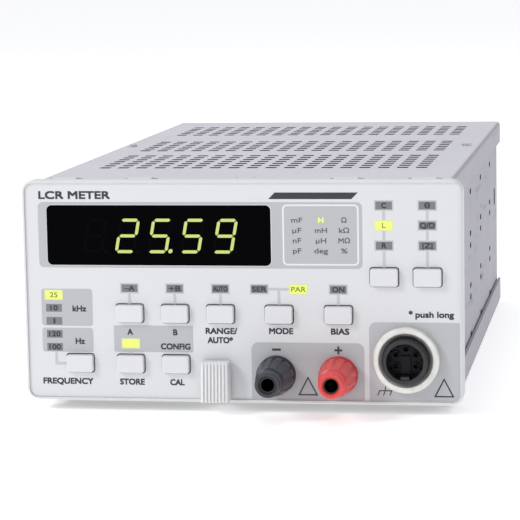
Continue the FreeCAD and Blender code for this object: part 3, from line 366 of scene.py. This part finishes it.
NODE_MATERIALS = {
    "frame": ["front_frame"], "foil": ["front_foil"], "primer": ["front_plate"],
    "window": ["display_window"],
    "dark_legend": ["indicator_windows"], "lit_legend": ["indicator_windows_lit"],
    "digit_block": ["display_digits"], "led": ["indicator_leds"], "board": ["front_board", "main_board"],
    "black": ["switch_bodies", "board_link_header", "chips", "post_insulator_black"],
    "red": ["post_insulator_red"], "black_cap": ["post_cap_black"], "red_cap": ["post_cap_red"],
    "lever": ["release_lever"], "spring": ["lever_spring"], "contact": ["post_solder_lugs"],
    "shaded_contact": ["connector_contacts"],
    "spindle": ["post_spindles"],
    "washer_black": ["clamp_washer_black"], "washer_red": ["clamp_washer_red"],
    "ring_metal": ["connector_ring"], "sleeve_metal": ["connector_sleeve"], "insert": ["connector_insert"],
    "cover": ["top_cover", "bottom_cover", "rear_panel"], "wall": ["side_wall_left", "side_wall_right"],
    "gold": ["edge_contacts"], "can": ["electrolytic_capacitors"], "relay": ["range_relays"],
    "tin": ["shield_can", "crystal"], "grey_wire": ["measuring_wires"], "red_wire": ["bias_wires"],
    "steel": ["front_board_spacers", "front_board_screws", "lever_pin", "post_nuts", "connector_nut",
              "rear_corner_blocks", "rear_panel_screws", "frame_screws", "cover_screws",
              "main_board_pillars", "main_board_screws"],
    "key": [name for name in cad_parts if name.startswith("button_")],
}


def paint_nodes():
    for key, names in NODE_MATERIALS.items():
        for name in names:
            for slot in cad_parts[name].material_slots:
                slot.material = MATERIALS[key]
    painted = {name for names in NODE_MATERIALS.values() for name in names}
    assert painted == set(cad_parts), painted ^ set(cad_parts)


# ---- thin pieces on the panel ---------------------------------------------------------------------------
ARC_STEPS = 8
SHADE = 0.02                                  # thickness of one layer of ink, mm


def rounded(x0, x1, z0, z1, r):
    """A rectangle with round corners; r is one radius or four, from the lower left anticlockwise."""
    radii = r if isinstance(r, tuple) else (r,) * 4
    corners = ((x0, z0, 1, 1, 180), (x1, z0, -1, 1, 270), (x1, z1, -1, -1, 0), (x0, z1, 1, -1, 90))
    points = []
    for (x, z, sx, sz, start), radius in zip(corners, radii):
        for step in range(ARC_STEPS + 1):
            angle = math.radians(start + 90 * step / ARC_STEPS)
            across, up = sx + math.cos(angle), sz + math.sin(angle)
            points.append((x + radius * across, z + radius * up))
    return points


def circle(x, z, r, count=48):
    angles = [math.tau * n / count for n in range(count)]
    return [(x + r * math.cos(angle), z + r * math.sin(angle)) for angle in angles]


def bar(x0, x1, z0, z1):
    return [(x0, z0), (x1, z0), (x1, z1), (x0, z1)]


def flat_mesh(outlines, thick):
    """A thin closed sheet in the XY plane; outlines inside the first are holes."""
    curve = bpy.data.curves.new("outline", "CURVE")
    curve.dimensions = "2D"
    curve.fill_mode = "BOTH"
    curve.extrude = thick / 2 * MM
    for outline in outlines:
        spline = curve.splines.new("POLY")
        spline.points.add(len(outline) - 1)
        for point, (x, z) in zip(spline.points, outline):
            point.co = (x * MM, z * MM, 0, 1)
        spline.use_cyclic_u = True
    return baked(curve)


def baked(curve):
    """The mesh that a curve or text gives."""
    holder = bpy.data.objects.new("holder", curve)
    scene.collection.objects.link(holder)
    graph = bpy.context.evaluated_depsgraph_get()
    mesh = bpy.data.meshes.new_from_object(holder.evaluated_get(graph))
    bpy.data.objects.remove(holder)
    bpy.data.curves.remove(curve)
    return mesh


class Piece:
    """Many small meshes that become one piece of one material, on one body."""

    def __init__(self, name, material, slot, body="root"):
        self.name, self.material, self.slot, self.body = name, material, slot, body
        self.shape = bmesh.new()

    def add(self, mesh, matrix):
        mesh.transform(matrix)
        self.shape.from_mesh(mesh)
        bpy.data.meshes.remove(mesh)

    def on_panel(self, outlines, out, thick):
        """A sheet whose back is out mm in front of the foil."""
        place = Matrix.Translation(at(0, 0, out + thick / 2)) @ Matrix.Rotation(math.pi / 2, 4, "X")
        self.add(flat_mesh(outlines, thick), place)

    def done(self):
        bmesh.ops.remove_doubles(self.shape, verts=self.shape.verts, dist=1e-7)
        bmesh.ops.recalc_face_normals(self.shape, faces=self.shape.faces)
        mesh = bpy.data.meshes.new(self.name)
        self.shape.to_mesh(mesh)
        self.shape.free()
        piece = bpy.data.objects.new(self.name, mesh)
        mesh.materials.append(self.material)
        scene.collection.objects.link(piece)
        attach(piece, self.body)


def lettering(text):
    """The mesh of a line of text and its box, at size 1."""
    curve = bpy.data.curves.new("words", "FONT")
    curve.body = text
    curve.resolution_u = 4
    curve.extrude = 0.5
    mesh = baked(curve)
    spots = [v.co for v in mesh.vertices]
    low = Vector((min(p.x for p in spots), min(p.y for p in spots)))
    high = Vector((max(p.x for p in spots), max(p.y for p in spots)))
    return mesh, low, high


CAPITAL = (lambda low, high: high.y - low.y)(*lettering("H")[1:])


def write(piece, text, x, z, cap, width, out, bold):
    """Text about x, its capitals centred on z and cap mm high, drawn in or out to a width in mm.

    Each stroke is widened by bold mm, with a copy of the text at each corner of a small square.
    """
    mesh, low, high = lettering(text)
    tall = (cap - bold) / CAPITAL * MM
    wide = (width - bold) * MM / (high.x - low.x)
    shift = Matrix.Translation((-(low.x + high.x) / 2, -CAPITAL / 2, 0))
    for n, (across, up) in enumerate(((-1, -1), (1, -1), (-1, 1), (1, 1))):
        thick = SHADE * (1 + 0.05 * n)
        place = Matrix.Translation(at(x + across * bold / 2, z + up * bold / 2, out + thick / 2))
        size = Matrix.Diagonal((wide, tall, thick * MM, 1))
        piece.add(mesh.copy(), place @ Matrix.Rotation(math.pi / 2, 4, "X") @ size @ shift)
    bpy.data.meshes.remove(mesh)


def pale_ink(name, color, tone=0.012, blotch=18.0):
    return surface(name, color, 0.45, tone, blotch, 3400.0, 0.003, 0)


def dark_ink(name, color, rough, tone):
    return surface(name, color, rough, tone, 60.0, 3000.0, 0.002, 0)


# Places are x and height on the panel, in mm
KEY = {name.removeprefix("button_"): round(middle(name).x / MM, 3)
       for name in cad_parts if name.startswith("button_")}
LAMP = (5.0, 2.4)                             # width and height
FREQUENCIES = [(-58.3, 32.7 - 4.05 * n) for n in range(5)]
ROW = 34.9                                    # height of the lamps above the middle row of keys
COLUMN = (60.4, 54.4, 48.3)                   # heights of the lamps in the two columns on the right
LCR = [(KEY["inductance"], z) for z in COLUMN]
ZQ = [(KEY["phase"], z) for z in COLUMN]
STORE = (KEY["store"], 17.8)
SERIES, PARALLEL = KEY["mode"] - 6.0, KEY["mode"] + 6.0
LIT = (FREQUENCIES[0], STORE, (PARALLEL, ROW), LCR[1])
LINE = 0.9                                    # width of a guide line


def hole(x, z, grow=0.0):
    a, b = LAMP[0] / 2 + grow, LAMP[1] / 2 + grow
    return bar(x - a, x + a, z - b, z + b)


def make_tint_boxes():
    """The grey printed fields."""
    grey = Piece("tint_boxes", pale_ink("tint_ink", (0.462, 0.470, 0.488)), "panel_foil")
    grey.on_panel([rounded(-62.2, -46.1, 23.1, 34.6, 0.9)] + [hole(*p) for p in FREQUENCIES[:3]], 0, SHADE)
    grey.on_panel([rounded(-62.2, -46.1, 15.0, 22.5, 0.9)] + [hole(*p) for p in FREQUENCIES[3:]], 0, SHADE)
    grey.on_panel([rounded(-39.6, -14.9, 15.2, 23.4, 0.5), hole(*STORE)], 0, SHADE)
    posts = [circle(axis.x / MM, (axis.z - PANEL_LOW) / MM, 5.95) for axis in POST_AXES.values()]
    grey.on_panel([rounded(3.05, 37.6, 1.05, 18.6, (0.2, 0.2, 2.2, 2.2))] + posts, 0, SHADE)
    plug = circle(CONNECTOR.x / MM, (CONNECTOR.z - PANEL_LOW) / MM, 10.1)
    grey.on_panel([rounded(39.1, 66.4, 1.05, 25.1, (0.2, 2.6, 0.2, 2.2)), plug], 0, SHADE)
    window = rounded(-60.0, 9.85, 41.8, 60.6, 1.8)
    grey.on_panel([rounded(-62.5, 37.4, 41.2, 61.4, 1.6), window], 0, SHADE)
    grey.done()
    white = Piece("units_outline", pale_ink("white_ink", (0.76, 0.77, 0.78), 0.01), "panel_foil")
    outer, inner = rounded(13.2, 36.35, 42.2, 60.7, 1.4), rounded(13.7, 35.85, 42.7, 60.2, 0.95)
    white.on_panel([outer, inner], SHADE, SHADE)
    white.done()


def make_guide_lines():
    """Thin lines that lead from each lamp to its key, and a border round each lamp."""
    lines = Piece("guide_lines", pale_ink("line_ink", (0.525, 0.53, 0.55)), "panel_foil")
    half, key_top, lamp_foot = LINE / 2, 30.05, 1.65
    turn_x, turn_z = -57.9, 11.4

    def down(x, z0, z1):
        lines.on_panel([bar(x - half, x + half, z0, z1)], 0, SHADE)

    for key in ("config_a", "config_b", "range", "bias"):
        down(KEY[key], key_top, ROW - lamp_foot)
    for column in (LCR, ZQ):
        for (x, z), (_, below) in zip(column, column[1:]):
            down(x, below + lamp_foot, z - lamp_foot)
        down(column[0][0], 41.65, column[-1][1] - lamp_foot)
    lines.on_panel([bar(8.75, 14.85, ROW - half, ROW + half)], 0, SHADE)
    down(KEY["mode"], key_top, ROW - half)
    down(STORE[0], 14.45, 15.2)
    down(turn_x, turn_z - half, 15.0)
    lines.on_panel([bar(turn_x + half, -54.6, turn_z - half, turn_z + half)], 0, SHADE)
    row = (KEY["config_a"], KEY["config_b"], KEY["range"], SERIES, PARALLEL, KEY["bias"])
    framed = LCR + ZQ + [(x, ROW) for x in row]
    for place in framed:
        if place not in LIT:
            lines.on_panel([hole(*place, 0.42), hole(*place)], 0, SHADE)
    lines.done()
    # painted light: the borders round lit lamps are the grey guide print, coloured yellow-green by the
    # lamps' glow
    glow = Piece("lamp_borders", pale_ink("painted_lamp_glow", (0.74, 0.80, 0.36), 0.02, 200.0), "panel_foil")
    for place in LIT:
        glow.on_panel([hole(*place, 0.36), hole(*place)], SHADE, SHADE)
    glow.done()


def make_lettering():
    ink = dark_ink("dark_ink", (0.030, 0.030, 0.042), 0.45, 0.15)
    words = Piece("panel_lettering", ink, "panel_foil")
    for text, x, z, width in (
        ("FREQUENCY", -54.4, 5.9, 15.9), ("STORE", -34.2, 5.9, 7.8), ("CAL", -20.1, 5.9, 4.5),
        ("A", -34.5, 21.4, 1.8), ("B", -20.4, 21.4, 1.4), ("CONFIG", -20.4, 17.0, 9.25),
        ("RANGE/", -6.1, 21.95, 9.8), ("AUTO*", -6.5, 19.1, 7.9), ("MODE", 12.3, 22.1, 7.4),
        ("BIAS", 30.3, 22.1, 5.6), ("kHz", -50.3, 28.5, 4.35), ("Hz", -50.3, 18.4, 2.95),
        ("push long", 58.9, 27.5, 11.6), ("*", 51.7, 27.7, 1.2),
    ):
        write(words, text, x, z, 1.9, width, SHADE, 0.2)
    write(words, "LCR METER", -50.95, 63.5, 2.45, 22.5, 0, 0.27)
    minus = [bar(9.4, 12.1, 16.05, 16.75)]
    plus = [bar(28.5, 30.9, 16.05, 16.7), bar(29.4, 30.0, 16.7, 17.6), bar(29.4, 30.0, 15.15, 16.05)]
    for stroke in minus + plus:
        words.on_panel([stroke], SHADE, SHADE)
    slanted_bar = [(9.0, 62.3), (34.2, 62.3), (36.2, 64.3), (11.0, 64.3)]
    words.on_panel([slanted_bar], 0, SHADE)
    for x in (20.3, 61.6):                    # a plain triangle
        outer = [(x - 3.1, 2.4), (x + 3.1, 2.4), (x, 8.3)]
        inner = [(x - 2.38, 2.82), (x + 2.38, 2.82), (x, 7.4)]
        words.on_panel([outer, inner], SHADE, SHADE)
    earth_stem = [(43.6, 4.3), (43.95, 4.3), (44.05, 5.3), (44.6, 6.0), (44.3, 6.1), (43.75, 5.4)]
    words.on_panel([earth_stem], SHADE, SHADE)
    words.on_panel([bar(41.9, 45.9, 4.0, 4.35)], SHADE, SHADE)
    for x in (41.9, 43.6, 45.55):
        earth_tooth = [(x, 4.0), (x - 0.55, 2.7), (x - 0.2, 2.7), (x + 0.35, 4.0)]
        words.on_panel([earth_tooth], SHADE, SHADE)
    words.done()

    faint = dark_ink("unit_ink", (0.09, 0.093, 0.105), 0.45, 0.1)
    units = Piece("unit_lettering", faint, "panel_foil")
    columns = {17.6: ("mF", "µF", "nF", "pF"), 24.9: (None, "mH", "µH", "deg"),
               31.9: ("Ω", "kΩ", "MΩ", "%")}
    widths = {"mF": 3.4, "µF": 2.8, "nF": 2.6, "pF": 2.6, "mH": 3.7, "µH": 3.2, "deg": 4.2,
              "Ω": 1.6, "kΩ": 3.1, "MΩ": 3.5, "%": 2.0}
    for x, texts in columns.items():
        for row, text in enumerate(texts):
            if text:
                write(units, text, x, 55.95 - 3.1 * row, 1.55, widths[text], SHADE, 0.08)
    units.done()
    lit = Piece("unit_lit", MATERIALS["lit_legend"], "indicator_lit")
    write(lit, "H", 24.9, 55.95, 1.6, 1.7, SHADE, 0.2)
    lit.done()


def make_legends():
    """Words in the lamp windows: dark in unlit ones, and olive in lit ones, where the lamp's light is
    painted into the same dark print.
    """
    dark = dark_ink("legend_ink", (0.030, 0.031, 0.036), 0.4, 0.1)
    unlit = Piece("legends_unlit", dark, "indicator_dark")
    places = [
        ("–A", KEY["config_a"], ROW, 3.2), ("+B", KEY["config_b"], ROW, 3.7),
        ("AUTO", KEY["range"], ROW, 4.6), ("SER", SERIES, ROW, 4.5), ("ON", KEY["bias"], ROW, 3.8),
        ("10", *FREQUENCIES[1], 2.4), ("1", *FREQUENCIES[2], 0.62), ("120", *FREQUENCIES[3], 3.7),
        ("100", *FREQUENCIES[4], 3.7), ("C", *LCR[0], 1.5), ("R", *LCR[2], 1.45), ("Θ", *ZQ[0], 1.7),
        ("Q/D", *ZQ[1], 4.5), ("|Z|", *ZQ[2], 3.1),
    ]
    for text, x, z, width in places:
        write(unlit, text, x, z, 1.65, width, -SHADE, 0.16)
    unlit.done()
    # painted light: the legends in lit windows are the same print as the unlit ones, made olive by the lamp
    # behind them
    olive = dark_ink("legend_ink_painted_backlight", (0.25, 0.28, 0.02), 0.4, 0.08)
    lit = Piece("legends_lit", olive, "indicator_lit")
    for text, (x, z), width in (("25", FREQUENCIES[0], 2.5), ("PAR", (PARALLEL, ROW), 4.5),
                                ("L", LCR[1], 1.2)):
        write(lit, text, x, z, 1.6, width, -SHADE, 0.1)
    lit.done()


# ---- display --------------------------------------------------------------------------------------------
SHOWN = " 2559"
POINT_AFTER = 2
SEGMENTS = {" ": "", "2": "abged", "5": "afgcd", "9": "abcdfg"}
DIGIT = (6.3, 10.6)          # width and height between the middles of the outer bars' edges
STROKE = 0.94
SEGMENT = 0.04                # thickness
SLANT = math.radians(10.5)


def segment_outlines():
    """Seven six-sided bars about the digit's middle."""
    t = STROKE / 2
    w, h = DIGIT[0] / 2 - t, DIGIT[1] / 2 - t
    gap = 0.2

    def level(z):
        end = w - gap
        return [(-end, z), (t - end, z + t), (end - t, z + t), (end, z), (end - t, z - t), (t - end, z - t)]

    def upright(x, z0, z1):
        foot, top = z0 + gap, z1 - gap
        return [(x, foot), (x + t, foot + t), (x + t, top - t), (x, top), (x - t, top - t),
                (x - t, foot + t)]

    return {"a": level(h), "g": level(0), "d": level(-h), "f": upright(-w, 0, h), "b": upright(w, 0, h),
            "e": upright(-w, -h, 0), "c": upright(w, -h, 0)}


def make_digits():
    """Lit and unlit segments, seen at the window's face in front of each digit block."""
    low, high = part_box("display_digits")
    pitch = (high.x - low.x) / len(SHOWN)
    bright = glowing("segment_glow", (0.58, 0.70, 0.20), 0.88, (0.10, 0.12, 0.03))
    lit = Piece("segments_lit", bright, "indicator_lit")
    off = surface("segment_off", (0.0016, 0.0016, 0.0024), 0.35, 0.1, Specular_IOR_Level=0.02)
    dark = Piece("segments_unlit", off, "display_digits")
    out = (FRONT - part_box("display_window")[0].y) / MM
    for n, character in enumerate(SHOWN):
        x = (low.x + pitch * (n + 0.5)) / MM + 0.3
        z = ((low.z + high.z) / 2 - PANEL_LOW) / MM - 0.2

        def lean(points):
            return [(x + px + pz * math.tan(SLANT), z + pz) for px, pz in points]

        for letter, outline in segment_outlines().items():
            piece = lit if letter in SEGMENTS[character] else dark
            piece.on_panel([lean(outline)], out, SEGMENT)
        dot = lit if n == POINT_AFTER else dark
        dot.on_panel([lean(circle(DIGIT[0] / 2 + 0.9, -DIGIT[1] / 2 + 0.65, 0.65, 24))], out, SEGMENT)
    lit.done()
    dark.done()


def make_floor():
    bpy.ops.mesh.primitive_plane_add(size=30, location=(0, 0, FLOOR - 0.0002))
    floor = bpy.context.object
    floor.name = "floor"
    paper = surface("floor_paper", (0.90, 0.90, 0.905), 0.8, 0.006, 3.0, 400.0, 0.01, 0,
                    Emission_Strength=0.42)
    floor.data.materials.append(paper)


make_camera()
make_lights()
make_floor()
paint_nodes()
make_tint_boxes()
make_guide_lines()
make_lettering()
make_legends()
make_digits()
